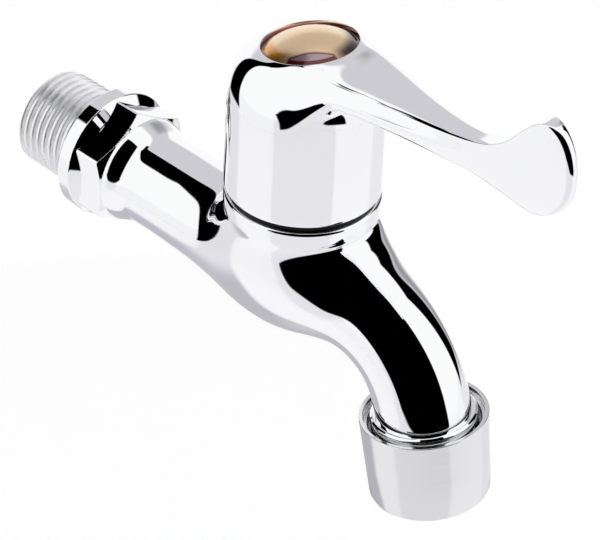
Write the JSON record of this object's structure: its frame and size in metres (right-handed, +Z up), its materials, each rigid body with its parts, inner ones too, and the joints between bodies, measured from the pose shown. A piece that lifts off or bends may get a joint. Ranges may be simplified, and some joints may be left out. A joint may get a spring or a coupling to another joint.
{
  "type": "single-lever wall tap",
  "caption": "Wall tap: male-threaded inlet, flange and hexagon, ceramic-disc headwork under a quarter-turn paddle lever, down-curved spout with screw-on aerator.",
  "frame": {"origin": "centre of the wall flange's back face, on the inlet thread's axis", "axes": "+X away from the wall towards the spout, +Z up, +Y to the left seen from behind the wall"},
  "size_m": [0.1312, 0.0302, 0.0971],
  "materials": {
    "polished_chrome": "polished chrome plate",
    "satin_chrome": "brushed chrome plate",
    "amber_plastic": "glossy translucent amber",
    "black_plastic": "matte black",
    "white_plastic": "natural acetal",
    "brass": "turned",
    "rubber": "matte",
    "spring_steel": "plain stainless",
    "disc_ceramic": "lapped alumina"
  },
  "bodies": {
    "body": {"tap_body": "polished_chrome", "headwork_housing": "brass", "headwork_o_ring": "rubber", "stem_washer": "white_plastic", "fixed_disc": "disc_ceramic", "disc_seal": "rubber", "seal_ring": "spring_steel", "glide_ring": "black_plastic", "aerator_housing": "satin_chrome", "aerator_washer": "rubber", "flow_disc": "white_plastic", "aerator_insert": "white_plastic", "aerator_screens": "spring_steel"},
    "lever": {"lever_handle": "polished_chrome", "spline_bush": "brass", "handle_screw": "spring_steel", "screw_washer": "spring_steel", "index_button": "amber_plastic", "headwork_stem": "brass", "stem_o_rings": "rubber", "stem_circlip": "spring_steel", "moving_disc": "disc_ceramic"}
  },
  "joints": [
    {"name": "lever_turn", "type": "hinge", "parent": "body", "child": "lever", "pos_m": [0.05515, 0, 0.02], "axis": [0, 0, 1], "range_deg": [0, 90]}
  ]
}
